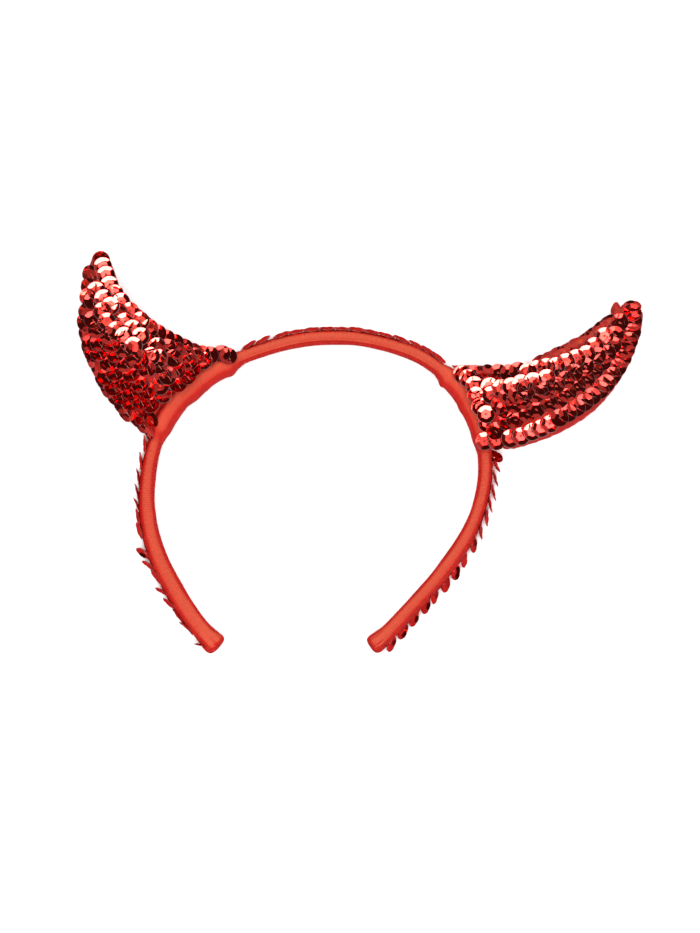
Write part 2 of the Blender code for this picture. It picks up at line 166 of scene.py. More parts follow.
# Middle line of the band round the hoop's centre: turn in degrees from +X towards +Y, reach in shares of
# HOOP_REACH
BAND_PATH = table(
    "turn reach",
    (-70, 0.963),
    (-50, 0.88),
    (-30, 0.884),
    (-10, 0.953),
    (10, 1.025),
    (30, 1.068),
    (50, 1.046),
    (70, 0.986),
    (90, 0.947),
    (110, 0.938),
    (130, 0.971),
    (150, 1.022),
    (180, 1.031),
    (210, 1.031),
    (236, 1.092),
)

# Faces of the covered band: how far the inner and the outer one are from its middle line, in millimetres
BAND_FACES = table(
    "turn inner outer",
    (-70, 3, 3.2),
    (-43, 2.8, 3.1),
    (-21, 2.9, 3.1),
    (-6, 2.7, 2.7),
    (60, 2.7, 2.7),
    (150, 2.7, 2.7),
    (170, 2.7, 2.8),
    (185, 2.8, 3.4),
    (199, 2.8, 4),
    (217, 3.4, 3.9),
    (236, 3.7, 3.9),
)

# Folded cloth at each leg tip: inset from the tip in shares of END_LENGTH, swell from the band's size (0) to
# the end's (1), and how much of that is left where the tip rounds off
CAD_LEG_END = table(
    "inset swell left",
    (0, 1, 0.5),
    (0.06, 1, 0.8),
    (0.18, 1, 0.95),
    (0.34, 0.95, 1),
    (0.66, 0.45, 1),
    (1, 0, 1),
)
LEG_END = table(
    "inset swell left",
    (0, 1, 0.06),
    (0.004, 1, 0.32),
    (0.02, 1, 0.54),
    (0.05, 1, 0.72),
    (0.09, 1, 0.84),
    (0.14, 1, 0.92),
    (0.2, 1, 0.97),
    (0.27, 0.98, 1),
    (0.34, 0.95, 1),
    (0.43, 0.85, 1),
    (0.52, 0.69, 1),
    (0.61, 0.52, 1),
    (0.7, 0.36, 1),
    (0.8, 0.19, 1),
    (0.9, 0.06, 1),
    (1, 0, 1),
)

# Folds on the inner side of a sleeve, from the leg to the crown: bulge in shares of SLEEVE_WALL
SLEEVE_FOLDS = table(
    "along bulge",
    (0, 0),
    (0.12, 0),
    (0.4, 0.2),
    (0.5, 0.8),
    (0.6, 0.3),
    (0.8, 0.15),
    (0.86, 0.85),
    (0.92, 0.2),
    (1, 0),
)

# Horn from its base on the band to its tip, between a low edge on the leg's side and a high edge on the
# crown's. Both edges are placed from the band's outer face at the horn's turn: out, away from the hoop's
# centre, in shares of the horn's length, and side, towards the crown, in shares of its width. bottom and
# top are heights above the floor, in shares of its thickness. panel is how far its sequined cloth reaches
# towards the low edge (-1) and the high edge (1). thread is how the loose ends of its stitches lie:
# direction in degrees from +X towards +Y, and length in millimetres.
RIGHT_HORN = {
    "name": "right_horn",
    "turn": 28.8,
    "crown_side": 1,
    "length": 72.0 * MM,
    "width": 33.0 * MM,
    "thickness": 19.0 * MM,
    "panel": (-0.766, 0.940),
    "thread": (-25, 1.0),
    "shape": table(
        "along low_out low_side high_out high_side bottom top",
        (0, -0.14, -0.45, -0.04, 0.55, 0, 0.6),
        (0.1, -0.04, -0.59, 0.07, 0.43, 0, 0.82),
        (0.24, 0.12, -0.68, 0.19, 0.27, 0, 0.97),
        (0.38, 0.29, -0.73, 0.33, 0.16, 0, 1),
        (0.53, 0.48, -0.71, 0.48, 0.14, 0, 0.95),
        (0.67, 0.64, -0.6, 0.65, 0.14, 0.01, 0.84),
        (0.8, 0.79, -0.42, 0.79, 0.18, 0.04, 0.72),
        (0.91, 0.92, -0.18, 0.89, 0.21, 0.08, 0.61),
        (0.97, 0.97, -0.03, 0.94, 0.22, 0.14, 0.52),
        (1, 0.99, 0.08, 0.98, 0.18, 0.22, 0.42),
    ),
}
LEFT_HORN = {
    "name": "left_horn",
    "turn": 140.4,
    "crown_side": -1,
    "length": 56.0 * MM,
    "width": 40.0 * MM,
    "thickness": 20.0 * MM,
    "panel": (-0.940, 0.940),
    "thread": (-58, 2.4),
    "shape": table(
        "along low_out low_side high_out high_side bottom top",
        (0, -0.03, -0.54, -0.11, 0.51, 0, 0.58),
        (0.16, 0.18, -0.52, 0.06, 0.38, 0, 0.9),
        (0.33, 0.39, -0.47, 0.27, 0.28, 0, 1.02),
        (0.48, 0.53, -0.41, 0.48, 0.29, 0.05, 1.06),
        (0.61, 0.68, -0.28, 0.64, 0.29, 0.13, 1.06),
        (0.72, 0.8, -0.12, 0.74, 0.32, 0.22, 1.04),
        (0.83, 0.9, 0.08, 0.83, 0.4, 0.34, 1.02),
        (0.93, 0.97, 0.28, 0.91, 0.45, 0.46, 0.98),
        (0.98, 1, 0.41, 0.96, 0.47, 0.55, 0.92),
        (1, 1, 0.46, 0.98, 0.48, 0.62, 0.84),
    ),
}

# Sequins of the horns: the place of each one's hole in view steps to the right and down, the direction its
# face leans in, in degrees from +X towards +Y, and by how many degrees it leans from straight up
RIGHT_HORN_SEQUINS = table(
    "x y face lean",
    # Round the base
    (462, 374, -90, 4),
    (468, 378, -80, 6),
    (475, 374, 90, 8),
    (484, 373, 70, 50),
    (490, 372, 60, 50),
    (474, 385, -50, 6),
    (476, 395, -55, 12),
    (480, 406, -65, 15),
    (486, 414, -75, 12),
    (487, 423, -85, 10),
    (489.5, 386, -75, 11),
    (491, 395, -80, 4),
    # A row beside the crown's side
    (498, 373, 90, 10),
    (509, 373.5, 90, 12),
    (518, 371, 90, 10),
    (528, 371.5, -90, 5),
    (537, 369, -90, 6),
    (546.5, 367, -90, 5),
    (556, 366, -75, 6),
    (566, 362, -75, 6),
    (576.5, 358, -75, 6),
    (586.5, 354, -70, 5),
    (594.5, 346, -50, 5),
    (604.5, 336, -70, 9),
    # Over the edge of the crown's side
    (541, 361, 110, 55),
    (550, 357.5, 112, 55),
    (559, 353, 113, 55),
    (568, 349, 113, 55),
    (577, 344, 115, 55),
    (585.5, 339.5, 118, 55),
    (593, 334, 120, 55),
    (601, 328, 122, 52),
    (609, 322, 125, 50),
    (617, 311, 175, 64),
    # The bright row after it
    (501, 388, -90, 5),
    (511, 386, -85, 12),
    (521, 383, -90, 10),
    (533, 381, -85, 9),
    (546.5, 378, -60, 6),
    # Dark field between them
    (526, 390, 100, 4),
    (558, 372, 90, 12),
    (567, 367, 95, 6),
    (585, 366.5, 90, 12),
    (597, 356, 80, 8),
    (499, 405, 30, 10),
    (507, 397, 75, 14),
    (517, 395, 80, 14),
    (536, 394.5, 90, 14),
    (546, 391, 90, 14),
    (541, 386, 60, 8),
    (556, 386, 90, 12),
    (566, 380, 90, 14),
    (574, 373, 90, 13),
    (505, 410, 85, 12),
    (514, 405, 90, 14),
    (524, 401, 90, 14),
    (527, 414, 85, 14),
    (536, 409.5, 85, 14),
    (549, 404, 90, 14),
    (559, 400, 90, 14),
    (567.5, 394, 90, 14),
    (577, 387, 90, 14),
    (586, 379.5, 90, 14),
    (594, 371, 90, 12),
    (602, 362.5, 95, 12),
    (607, 354, 95, 14),
    (612.5, 345.5, 95, 10),
    (615, 335, 80, 10),
    (619.5, 322.5, 90, 8),
    (505.5, 421, 85, 8),
    (515, 420, 80, 12),
    (495, 431, 80, 6),
    # A row beside the leg's side, up to the tip
    (484.5, 441, -60, 4),
    (496.5, 441, -60, 5),
    (510, 438.5, -45, 6),
    (521, 436, -40, 11),
    (532, 431.5, -35, 14),
    (541, 428, -35, 14),
    (550, 423.5, -45, 11),
    (559.5, 418, 80, 9),
    (568, 413.5, 80, 9),
    (576.5, 408, 80, 10),
    (584.5, 402.5, 75, 8),
    (592, 396.5, 70, 8),
    (600, 390, 50, 5),
    (606, 383.5, 75, 9),
    (612, 376, 80, 10),
    (617.5, 367.5, 70, 10),
    (622.5, 358.5, 80, 14),
    (626, 350, 85, 16),
    (629, 341, 90, 14),
    (632, 332.5, 90, 12),
    (633, 321.5, 90, 14),
    (632.5, 312.5, 90, 14),
    (632.5, 307, 90, 48),
)
LEFT_HORN_SEQUINS = table(
    "x y face lean",
    # A row beside the crown's side
    (101, 260, -70, 3),
    (103, 266, -70, 11),
    (106, 274.5, -70, 13),
    (109.5, 284.5, -70, 15),
    (114.5, 293, -70, 16),
    (121, 301.5, -72, 13),
    (130, 311, -72, 8),
    (140.5, 320.5, -75, 7),
    (149.5, 328, -80, 5),
    (157.5, 333.5, 90, 10),
    (166, 338.5, 90, 14),
    (175, 343, 85, 16),
    (184, 347.5, 80, 18),
    (193, 352, 80, 16),
    (201.5, 354.5, 80, 12),
    (210, 355.5, 70, 10),
    (221.5, 354, 75, 14),
    (228, 356.5, 60, 20),
    # The row after it
    (96, 290.5, -60, 9),
    (103.5, 298, -70, 13),
    (110.5, 305.5, -70, 12),
    (118.5, 313, -40, 5),
    (125, 321.5, -75, 8),
    (132.5, 328.5, -75, 8),
    (140.5, 336, -75, 9),
    (148, 343, 80, 8),
    (157, 346.5, -85, 3),
    (167, 348, 85, 12),
    (177, 351, 85, 14),
    (186, 354.5, 85, 12),
    (196, 356.5, 85, 12),
    # Bright ones among the dark
    (102.5, 311, -70, 9),
    (107, 321.5, -75, 8),
    (116.5, 330, -60, 6),
    (124, 335.5, -70, 9),
    (133.5, 345.5, -70, 8),
    (151, 356, -50, 6),
    (159, 358, -80, 7),
    (203, 360.5, -45, 8),
    (163, 376, -30, 5),
    (160, 386, -10, 8),
    (163, 394, -60, 4),
    # Along the outer edge
    (91, 274, 190, 22),
    (89.5, 286.5, 200, 26),
    (88.5, 297, 210, 20),
    (87, 312, 180, 22),
    (85, 322.5, 205, 36),
    (84.5, 335.5, 200, 60),
    (87.5, 347.5, 197, 56),
    (92, 359, 200, 58),
    (97, 368.5, 205, 56),
    (102, 380, 205, 56),
    (107.5, 389.5, 210, 52),
    (115, 397.5, 215, 48),
    (122, 405, 208, 42),
    (127, 413, 212, 40),
    (137, 418, 215, 48),
    (143, 417.5, 150, 50),
    (144, 424.5, 212, 40),
    (150, 420, 30, 50),
    (149.5, 431, 200, 60),
    # Dark field between them
    (93, 301, 95, 8),
    (91, 343, 95, 14),
    (93.5, 354, 95, 14),
    (106, 377, 100, 14),
    (113.5, 387.5, 100, 14),
    (121.5, 396.5, 100, 14),
    (93, 320, 95, 12),
    (97, 330, 100, 13),
    (109, 336, 95, 13),
    (99, 343, 100, 14),
    (111.5, 345, 95, 14),
    (99, 353, 105, 14),
    (124, 349, 95, 12),
    (115.5, 354.5, 95, 14),
    (133.5, 356, 95, 13),
    (108.5, 363, 100, 14),
    (125, 364, 95, 14),
    (140, 361.5, 95, 12),
    (115, 373, 100, 14),
    (131.5, 374.5, 95, 13),
    (147, 369.5, 95, 14),
    (158.5, 365, 80, 6),
    (123.5, 383, 100, 16),
    (140, 384, 95, 13),
    (131.5, 392.5, 100, 15),
    (147.5, 391, 95, 13),
    (131, 402.5, 110, 14),
    (141, 401, 95, 14),
    (150.5, 404, 100, 10),
    (174, 358.5, 110, 8),
    (189, 362, 105, 10),
    (168, 376, 170, 6),
    (177, 370, 90, 12),
    (192, 369, 100, 12),
    (187, 376, 60, 10),
    (178, 384, 80, 12),
)

# Sequins of the legs: where each is on the hoop, the direction of its free end in degrees from +X towards
# +Y, how far its face turns up, in degrees, and how far it stands off the band's middle line, in millimetres
RIGHT_LEG_SEQUINS = table(
    "turn lay face off",
    (12.5, -25, 35, 3.6),
    (10, -65, 8, 3.9),
    (5.8, -76, 6, 3.9),
    (1.4, -78, 6, 3.9),
    (-2.6, -80, 6, 3.7),
    (-7, -89, 11, 3.8),
    (-12, -88, 9, 3.8),
    (-17, -90, 25, 3.4),
    (-23.2, -90, 24, 3.4),
    (-28.9, -88, 35, 3.6),
    (-34.9, -94, 34, 3.4),
    (-41, -97, 24, 3.3),
    (-46.2, -101, 32, 3.2),
    (-53, -106, 34, 3.2),
    (-59.2, -108, 34, 3.3),
    (-65, -108, 27, 3.7),
)
LEFT_LEG_SEQUINS = table(
    "turn lay face off",
    (163.5, 92, 12, 3.5),
    (169, 94, 10, 3.5),
    (174, 98, 6, 3.7),
    (179, 103, 5, 3.7),
    (183.2, 111, 6, 3.8),
    (187, 101, 12, 3.8),
    (191.2, 108, 18, 4.1),
    (198.2, 147, 26, 5),
    (202.6, 145, 16, 4.7),
    (206.8, 126, 18, 3.8),
    (212, 151, 12, 4.4),
    (216.6, 140, 16, 4),
    (221.2, 126, 8, 3.8),
    (225.4, 143, 9, 3.7),
    (232.6, 165, 5, 4),
)

# Sequins of the crown: where each is on the hoop, and by how many degrees its free end stands off the band
CROWN_SEQUINS = table(
    "turn lift",
    (115, 9),
    (109.8, 12),
    (102.8, 8),
    (97.5, 4),
    (92, 4),
    (86.6, 5),
    (81.4, 6),
    (76.3, 6),
    (71.7, 7),
    (66.4, 6),
    (61.3, 3),
    (56.2, 2),
    (52.2, 2),
    (48.5, 2),
)

# Pace of steps along the band, and the turns over which its directions are taken
STEPS_PER_REACH = 60
PACE_TURN = 0.25
AXES_TURN = 0.5

# Height of the band's middle line over the floor, and reach of a sleeve from that line
BAND_HEIGHT = BAND_DEPTH / 2 + GAP + SLEEVE_WALL
SLEEVE_REACH = BAND_THICKNESS / 2 + GAP + SLEEVE_WALL


def read(columns, key, value, at):
    """A table's value at a place between its rows, on a smooth curve through them."""
    x, y = columns[key], columns[value]
    at = min(max(at, x[0]), x[-1])
    i = max(k for k in range(len(x) - 1) if x[k] <= at)
    last = len(x) - 1

    def slope(k):
        before, after = max(k - 1, 0), min(k + 1, last)
        return (y[after] - y[before]) / (x[after] - x[before])

    span = x[i + 1] - x[i]
    t = (at - x[i]) / span
    return (
        y[i] * (1 + 2 * t) * (1 - t) ** 2
        + y[i + 1] * t * t * (3 - 2 * t)
        + slope(i) * span * t * (1 - t) ** 2
        + slope(i + 1) * span * t * t * (t - 1)
    )


def rows_of(columns):
    """The rows of a table, each as a dictionary."""
    names = list(columns)
    return [dict(zip(names, row)) for row in zip(*columns.values())]


def direction(degrees):
    """A level direction, in degrees from +X towards +Y."""
    angle = math.radians(degrees)
    return Vector((math.cos(angle), math.sin(angle), 0))


def smooth_step(low, high, at):
    """From 0 below low to 1 above high."""
    t = min(max((at - low) / (high - low), 0.0), 1.0)
    return t * t * (3 - 2 * t)


def ripple(at, seed):
    """A smooth uneven wave between about -1 and 1."""
    return (
        math.sin(at + 1.7 * seed)
        + 0.6 * math.sin(1.83 * at + 2.9 * seed)
        + 0.4 * math.sin(3.1 * at + 0.7 * seed)
    ) / 1.6


# Lines and directions along the band


def band_middle(turn):
    """Middle of the band at a turn round the hoop."""
    reach = HOOP_REACH * read(BAND_PATH, "turn", "reach", turn)
    angle = math.radians(turn)
    return Vector((reach * math.cos(angle), reach * math.sin(angle), BAND_HEIGHT))


def band_axes(turn):
    """Direction round the hoop, and direction straight out of the band's outer face."""
    first, last = BAND_PATH["turn"][0], BAND_PATH["turn"][-1]
    onward = band_middle(min(turn + AXES_TURN, last)) - band_middle(max(turn - AXES_TURN, first))
    onward.normalize()
    return onward, onward.cross(UP)


def band_point(turn, outward, height):
    """A point beside the band's middle line."""
    return band_middle(turn) + band_axes(turn)[1] * outward + UP * height


def band_face(turn, across):
    """How far the covered band reaches from its middle line, inwards (across below 0) or outwards."""
    return read(BAND_FACES, "turn", "outer" if across > 0 else "inner", turn) * MM


def turn_after(turn, length):
    """The turn that lies a length further round the band's middle line. Lengths may be negative."""
    steps = max(1, math.ceil(STEPS_PER_REACH * abs(length) / HOOP_REACH))
    for _ in range(steps):
        ahead = turn + math.copysign(PACE_TURN, length)
        per_degree = (band_middle(ahead) - band_middle(turn)).length / PACE_TURN
        turn += length / steps / per_degree
    return turn


def band_length(start, end):
    """Length of the band's middle line between two turns."""
    steps = max(2, round(abs(end - start)))
    points = [band_middle(start + (end - start) * k / steps) for k in range(steps + 1)]
    return sum((b - a).length for a, b in zip(points, points[1:]))


def even_turns(start, end, step):
    """Turns from start to end at about equal steps of length."""
    count = max(2, round(band_length(start, end) / step))
    pace = math.copysign(band_length(start, end) / count, end - start)
    turns = [start]
    for _ in range(count - 1):
        turns.append(turn_after(turns[-1], pace))
    return turns + [end]


def band_section(sides):
    """Outline of the band's section from -1 to 1 each way, with flats above and below."""
    outline = []
    for k in range(sides):
        angle = 2 * math.pi * (k + 0.5) / sides
        round_place = (math.cos(angle), math.sin(angle))
        outline.append([math.copysign(abs(v) ** (2 / BAND_SQUARENESS), v) for v in round_place])
    widest = max(across for across, _ in outline)
    highest = max(up for _, up in outline)
    return [(across / widest, up / highest) for across, up in outline]


def band_sizes(leg_end, step):
    """Turns of the band's rings, each with its half thickness, half depth and swell."""
    first, last = BAND_PATH["turn"][0], BAND_PATH["turn"][-1]
    from_start = [turn_after(first, inset * END_LENGTH) for inset in leg_end["inset"]]
    to_end = [turn_after(last, -inset * END_LENGTH) for inset in leg_end["inset"]]
    sizes = []

    def knob(turn, row):
        swell, left = leg_end["swell"][row], leg_end["left"][row]
        thickness = BAND_THICKNESS + (END_THICKNESS - BAND_THICKNESS) * swell
        depth = BAND_DEPTH + 2 * (BAND_HEIGHT - BAND_DEPTH / 2) * swell
        sizes.append((turn, left * thickness / 2, left * depth / 2, swell))

    for row, turn in enumerate(from_start):
        knob(turn, row)
    for turn in even_turns(from_start[-1], to_end[-1], step)[1:-1]:
        sizes.append((turn, BAND_THICKNESS / 2, BAND_DEPTH / 2, 0.0))
    for row in reversed(range(len(to_end))):
        knob(to_end[row], row)
    return sizes


def hoop_centre():
    """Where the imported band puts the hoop's centre."""
    low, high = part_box("band")
    points = [
        band_point(turn, across * half, up * depth)
        for turn, half, depth, _ in band_sizes(CAD_LEG_END, CAD_BAND_STEP)
        for across, up in band_section(CAD_BAND_SIDES)
    ]
    middle = Vector((0, 0, 0))
    for axis in (0, 1):
        reach = [point[axis] for point in points]
        middle[axis] = (low[axis] + high[axis] - min(reach) - max(reach)) / 2
    return middle


HOOP_CENTRE = hoop_centre()


# Shape of a horn


def sleeve_span(horn):
    """First and last turn of the sleeve under a horn, from the leg to the crown."""
    shape, sense = horn["shape"], horn["crown_side"]
    low = shape["low_side"][0] * horn["width"] - SLEEVE_OVERHANG
    high = shape["high_side"][0] * horn["width"] + SLEEVE_OVERHANG
    return turn_after(horn["turn"], sense * low), turn_after(horn["turn"], sense * high)


def horn_edge(horn, along, edge):
    """A horn's low or high edge in plan, apart from the fit of its base."""
    outward = read(horn["shape"], "along", edge + "_out", along) * horn["length"]
    side = read(horn["shape"], "along", edge + "_side", along) * horn["width"]
    away = direction(horn["turn"])
    towards_crown = UP.cross(away) * horn["crown_side"]
    start = band_middle(horn["turn"]) + away * (SLEEVE_REACH + GAP)
    return start + away * outward + towards_crown * side


def horn_plan(horn, along, across):
    """A point between a horn's edges in plan, from the low edge (-1) to the high edge (1)."""
    return horn_edge(horn, along, "low").lerp(horn_edge(horn, along, "high"), (across + 1) / 2)


def seat(horn, across):
    """Where a horn's base meets its sleeve."""
    low, high = (horn["shape"][side][0] * horn["width"] for side in ("low_side", "high_side"))
    side = low + (high - low) * (across + 1) / 2
    turn = turn_after(horn["turn"], horn["crown_side"] * side)
    return band_point(turn, SLEEVE_REACH + GAP, -BAND_HEIGHT)


def horn_point(horn, along, across, front):
    """A point of the stuffed body: along from base to tip, across from low edge (-1) to high edge (1)."""
    hold = max(0.0, 1 - along / BASE_BLEND) ** 2
    point = horn_plan(horn, along, across)
    if hold > 0:
        point += (seat(horn, across) - horn_plan(horn, 0, across)) * hold

    bottom = max(0.0, read(horn["shape"], "along", "bottom", along)) * horn["thickness"]
    top = read(horn["shape"], "along", "top", along) * horn["thickness"]
    seam = bottom + SEAM_HEIGHT * (top - bottom)
    arch = max(0.0, 1 - across * across)
    if front:
        point.z = seam + (top - seam) * CROWN_HEIGHT * arch**CROWN_ROUNDNESS
    else:
        point.z = seam - (seam - bottom) * min(1, BELLY_FLATNESS * math.sqrt(arch))
    return point


def front_frame(horn, along, across):
    """Point on the body's front, with the direction straight out of the cloth."""
    step = 0.01
    point = horn_point(horn, along, across, True)
    near_tip = horn_point(horn, min(along + step, 1), across, True)
    near_base = horn_point(horn, max(along - step, 0), across, True)
    high = horn_point(horn, along, min(across + step, 0.99), True)
    low = horn_point(horn, along, max(across - step, -0.99), True)
    towards_tip = (near_tip - near_base).normalized()
    out = towards_tip.cross(high - low).normalized()
    if out.z < 0:
        out.negate()
    return point, out


# Meshes


def add_object(name, data):
    """A new object in the scene."""
    made = bpy.data.objects.new(name, data)
    bpy.context.scene.collection.objects.link(made)
    return made


def add_piece(name, points, faces, materials, node, slot, slots=None, uvs=None, sharp=40):
    """A mesh round the hoop's centre as a piece of the headband that stands for a solid."""
    mesh = bpy.data.meshes.new(name)
    mesh.from_pydata([point + HOOP_CENTRE for point in points], [], faces)
    for made in materials:
        mesh.materials.append(made)
    if slots:
        mesh.polygons.foreach_set("material_index", slots)
    if uvs:
        layer = mesh.uv_layers.new(name="cloth")
        layer.uv.foreach_set("vector", [value for uv in uvs for value in uv])
    mesh.shade_smooth()
    mesh.set_sharp_from_angle(angle=math.radians(sharp))
    mesh.update()
    piece = add_object(name, mesh)
    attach(piece, "root")
    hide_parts(node)
    return piece


def loft(rings, closed_ends=True):
    """Points, faces and cloth coordinates of a tube through closed rings. The coordinates are lengths."""
    count = len(rings[0])
    points = [point for ring in rings for point in ring]
    along = [0.0]
    for near, far in zip(rings, rings[1:]):
        along.append(along[-1] + (centre_of(far) - centre_of(near)).length)
    middle = rings[len(rings) // 2]
    around = [0.0]
    for k in range(count):
        around.append(around[-1] + (middle[(k + 1) % count] - middle[k]).length)
    faces, uvs = [], []
    for i in range(len(rings) - 1):
        for k in range(count):
            corners = ((i, k), (i + 1, k), (i + 1, k + 1), (i, k + 1))
            faces.append(tuple(ring * count + side % count for ring, side in corners))
            uvs += [(along[ring], around[side]) for ring, side in corners]
    if closed_ends:
        first = tuple(range(count))
        last = tuple((len(rings) - 1) * count + k for k in reversed(range(count)))
        for face, place in ((first, along[0]), (last, along[-1])):
            faces.append(face)
            uvs += [(place, around[k % count]) for k in face]
    return points, faces, uvs


def centre_of(ring):
    """Middle of a ring's points."""
    return sum(ring, Vector()) / len(ring)


def round_turns(half_count):
    """Even turns of a full circle, in radians."""
    return [k * math.pi / half_count for k in range(2 * half_count)]


# The band and its sleeves


def make_band():
    """The covered hoop, with a cloth overlap along the crown and pleats gathered at each leg tip."""
    rings = []
    walked = 0.0
    previous = None
    for turn, _, depth, swell in band_sizes(LEG_END, BAND_STEP):
        middle = band_middle(turn)
        walked += (middle - previous).length if previous else 0.0
        previous = middle
        rounding = depth / (BAND_DEPTH / 2 + (BAND_HEIGHT - BAND_DEPTH / 2) * swell)
        push = band_axes(turn)[0] * END_PUSH * swell * math.copysign(1, turn - 90)
        crown = smooth_step(*SEAM_STARTS, turn) * (1 - smooth_step(*SEAM_ENDS, turn))
        ring = []
        for k, (across, up) in enumerate(band_section(BAND_SIDES)):
            angle = 2 * math.pi * (k + 0.5) / BAND_SIDES
            half = band_face(turn, across) * (1 + END_SWELL * swell) * rounding
            pleat = 1 + PLEAT_DEPTH * swell * ripple(END_PLEATS * angle, 1.0 + turn / 90)
            overlap = crown * smooth_step(SEAM_PLACE - SEAM_WIDTH, SEAM_PLACE, across)
            lift = SEAM_STEP * (1 - overlap) * crown if up > 0 else 0.0
            wobble = WOBBLE * ripple(walked / WOBBLE_PITCH + 2 * angle, 0.4)
            out = across * (half * pleat + wobble)
            ring.append(band_point(turn, out, up * depth * min(pleat, 1) + lift) + push)
        rings.append(ring)
    points, faces, uvs = loft(rings)
    add_piece("band_cover", points, faces, [RIBBED_CLOTH], "band", "cover_cloth", uvs=uvs)


def make_sleeve(horn, name):
    """The satin tube round the band that a horn is sewn to. Gives its points and faces."""
    start, end = sleeve_span(horn)
    section = band_section(BAND_SIDES)
    turns = even_turns(start, end, SLEEVE_STEP)
    length = band_length(start, end)
    outer, inner = [], []
    for i, turn in enumerate(turns):
        place = i / (len(turns) - 1)
        bulge = SLEEVE_WALL * read(SLEEVE_FOLDS, "along", "bulge", place)
        from_end = min(place, 1 - place) * length
        full = smooth_step(0, SLEEVE_TAPER, from_end)
        hem = HEM_HEIGHT * math.exp(-(((from_end - HEM_PLACE) / HEM_WIDTH) ** 2))
        ring = []
        for k, (across, up) in enumerate(section):
            angle = 2 * math.pi * (k + 0.5) / BAND_SIDES
            inward = max(-across, 0.0)
            wrinkle = WRINKLE_DEPTH * full * ripple(place * length / WRINKLE_PITCH + 1.5 * angle, 2.0)
            wall = SLEEVE_EDGE + (SLEEVE_WALL - SLEEVE_EDGE) * full
            fit = GAP * full
            reach = BAND_THICKNESS / 2 + fit + wall + (wrinkle + hem) * min(1, 2 * inward)
            height = min(BAND_DEPTH / 2 + fit + wall + wrinkle * 0.6, BAND_HEIGHT)
            ring.append(band_point(turn, across * reach - inward * bulge, up * height))
        outer.append(ring)
        inner.append([band_point(turn, a * BAND_THICKNESS / 2, u * BAND_DEPTH / 2) for a, u in section])
    rings = [inner[0], *outer, inner[-1]]
    points, faces, uvs = loft(rings, closed_ends=False)
    back, back_faces, back_uvs = loft(list(reversed(inner)), closed_ends=False)
    offset = len(points)
    points += back
    faces += [tuple(offset + i for i in face) for face in back_faces]
    uvs += back_uvs
    add_piece(name + "_cover", points, faces, [SATIN], name, "satin", uvs=uvs)
    return points, faces


# Stuffed horns


def make_horn_body(horn, sleeve):
    """The stuffed satin body, puckered along the seam round its edge. Gives what sequins rest on."""
    across = [math.sin(math.pi * (k / BODY_STRIPS - 0.5)) for k in range(BODY_STRIPS + 1)]
    rings = []
    for i in range(BODY_STATIONS + 1):
        along = 1 - (1 - i / BODY_STATIONS) ** CLOSER_AT_TIP
        ring = []
        for front in (True, False):
            for a in across if front else list(reversed(across))[1:-1]:
                point = horn_point(horn, along, a, front)
                near_seam = math.exp(-(1 - abs(a)) / PUCKER_REACH)
                wave = ripple(2 * math.pi * along * horn["length"] / PUCKER_PITCH, 1 + 2 * (a > 0))
                inwards = (horn_point(horn, along, 0, front) - point).normalized()
                inwards.z = 0
                ring.append(point + inwards * PUCKER_DEPTH * near_seam * (1 + wave) / 2)
        rings.append(ring)
    name = horn["name"]
    points, faces, uvs = loft(rings)
    piece = add_piece(name + "_stuffing", points, faces, [SATIN], name + "_body", "satin", uvs=uvs)
    sleeve_points, sleeve_faces = sleeve
    count = len(points)
    faces += [tuple(count + i for i in face) for face in sleeve_faces]
    return BVHTree.FromPolygons(points + sleeve_points, faces)


def make_panel(horn):
    """The cloth that a horn's sequins are sewn to."""
    low, high = horn["panel"]
    rows, columns = PANEL_ROWS, PANEL_COLUMNS
    front, back = [], []
    for i in range(rows + 1):
        along = PANEL_FROM + (PANEL_TO - PANEL_FROM) * i / rows
        for k in range(columns + 1):
            a = math.sin(math.asin(low) + (math.asin(high) - math.asin(low)) * k / columns)
            point, out = front_frame(horn, along, a)
            front.append(point + out * (CLOTH_LIFT + CLOTH_THICKNESS))
            back.append(point + out * CLOTH_LIFT)
    wide = columns + 1
    count = len(front)
    faces = []
    for i in range(rows):
        for k in range(columns):
            a = i * wide + k
            quad = (a, a + wide, a + wide + 1, a + 1)
            faces.append(quad)
            faces.append(tuple(count + v for v in reversed(quad)))
    edge = list(range(wide))
    edge += [i * wide + columns for i in range(1, rows + 1)]
    edge += [rows * wide + k for k in reversed(range(columns))]
    edge += [i * wide for i in reversed(range(1, rows))]
    for a, b in zip(edge, edge[1:] + edge[:1]):
        faces.append((a, b, count + b, count + a))
    uvs = []
    for face in faces:
        for v in face:
            i, k = divmod(v % count, wide)
            uvs.append((horn["length"] * i / rows, horn["width"] * k / columns))
    name = horn["name"]
    points = front + back
    piece = add_piece(name + "_sequin_cloth", points, faces, [SATIN], name + "_sequins", "satin", uvs=uvs)


# Sequins


class Mould:
    """Points and faces of many small shapes for one mesh, each face with its material's number."""

    def __init__(self):
        self.points = []
        self.faces = []
        self.slots = []

    def add(self, points, faces, slots):
        start = len(self.points)
        self.points += points
        self.faces += [tuple(start + i for i in face) for face in faces]
        self.slots += slots


def flat_edge(angle):
    """How far the edge of a sequin's flat middle is from its hole, at a turn in degrees."""
    return FLAT_REACH / math.cos(math.radians(angle % 60 - 30))


def sequin_height(x, y):
    """How far a sequin's sides rise from its flat middle."""
    angle = math.degrees(math.atan2(y, x)) % 60 - 30
    return CUP_SLOPE * max(0.0, math.hypot(x, y) * math.cos(math.radians(angle)) - FLAT_REACH)


